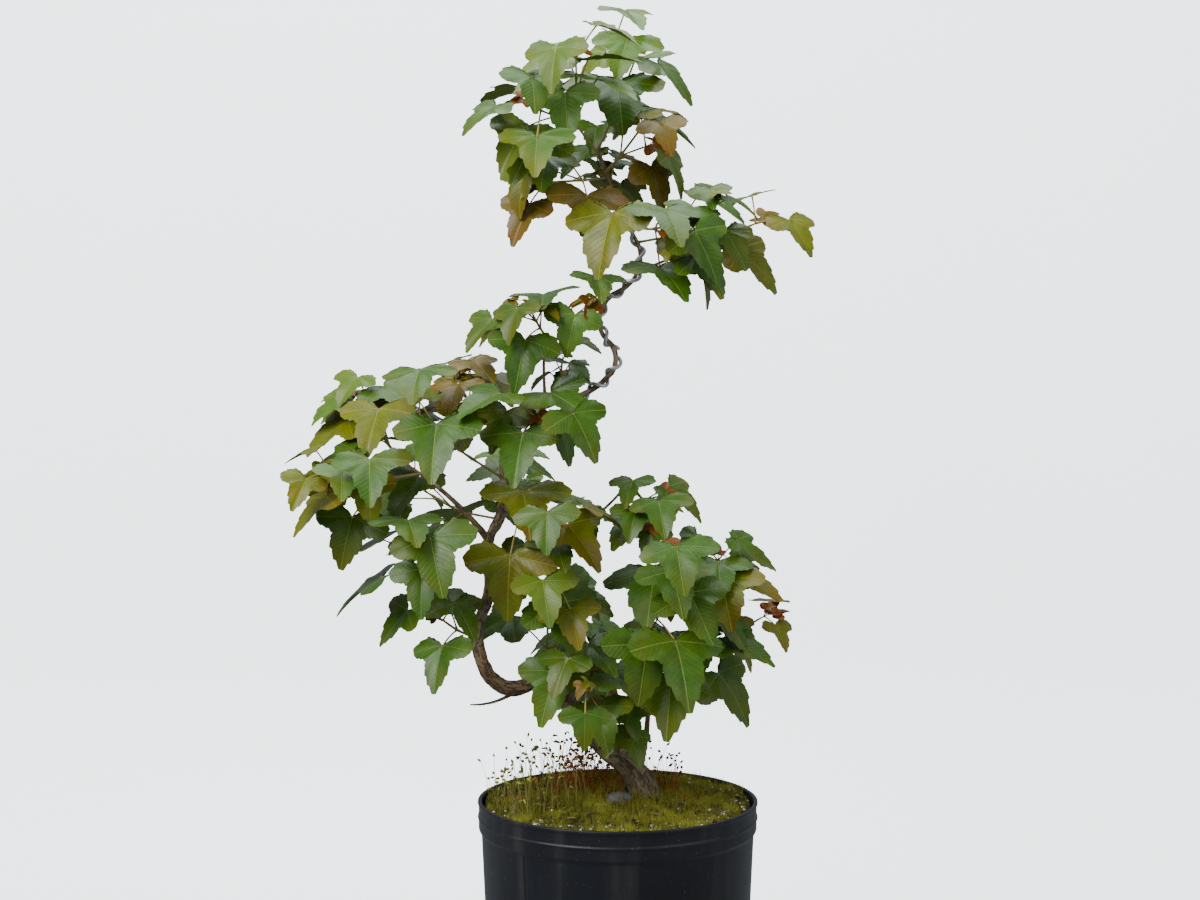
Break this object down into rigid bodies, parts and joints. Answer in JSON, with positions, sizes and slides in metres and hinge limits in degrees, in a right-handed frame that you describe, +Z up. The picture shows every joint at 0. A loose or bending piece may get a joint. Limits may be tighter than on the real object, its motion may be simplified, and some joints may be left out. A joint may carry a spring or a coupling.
{
  "type": "potted maple tree",
  "caption": "Young trident maple with an S-curved, wired trunk, opposite three-lobed leaves on slender boughs, standing in a round black plastic nursery pot with mossy soil",
  "frame": {"origin": "centre of the pot's flat underside", "axes": "+Z up along the tree, +X to the right and +Y to the back as the picture sees it"},
  "size_m": [0.3076, 0.1755, 0.6401],
  "materials": {
    "pot_plastic": "black injection-moulded plastic with a soft sheen, dusty with dried splashes",
    "potting_soil": "dark gritty potting mix",
    "moss": "olive green cushion moss",
    "stone": "dull grey rounded stone",
    "bark": "grey-brown bark with fine dark fissures",
    "young_bark": "smooth dark brown young bark",
    "wire": "dull silver-grey training wire",
    "foliage": "matt to slightly waxy green leaves, some tinted bronze, rust and young red"
  },
  "bodies": {
    "root": {"pot": "pot_plastic", "soil": "potting_soil", "moss_bed": "moss", "stone": "stone", "trunk_foot": "bark", "trunk_bend": "bark", "trunk_rise": "bark", "trunk_sweep": "bark", "trunk_top": "bark", "left_bough": "young_bark", "low_left_twig": "young_bark", "front_branch": "young_bark", "right_bough": "young_bark", "low_right_bough": "young_bark", "basal_stem": "young_bark", "basal_bough": "young_bark", "dead_twig": "young_bark", "middle_bough": "young_bark", "upper_right_bough": "young_bark", "lower_wire": "wire", "upper_wire": "wire", "apex_leaves": "foliage", "apex_left_leaves": "foliage", "apex_right_leaves": "foliage", "upper_left_leaves": "foliage", "upper_front_leaves": "foliage", "upper_right_inner_leaves": "foliage", "upper_right_outer_leaves": "foliage", "bend_shoot_leaves": "foliage", "middle_shoot_leaves": "foliage", "middle_back_leaves": "foliage", "left_top_leaves": "foliage", "left_outer_top_leaves": "foliage", "left_outer_low_leaves": "foliage", "left_mid_leaves": "foliage", "left_front_leaves": "foliage", "low_left_leaves": "foliage", "centre_top_leaves": "foliage", "centre_leaves": "foliage", "centre_low_leaves": "foliage", "centre_right_leaves": "foliage", "right_mid_leaves": "foliage", "low_middle_leaves": "foliage", "right_top_leaves": "foliage", "right_front_leaves": "foliage", "right_far_leaves": "foliage", "right_low_leaves": "foliage", "base_left_leaves": "foliage", "base_front_leaves": "foliage", "back_low_leaves": "foliage", "back_middle_leaves": "foliage", "back_left_leaves": "foliage", "back_top_leaves": "foliage"}
  },
  "joints": []
}
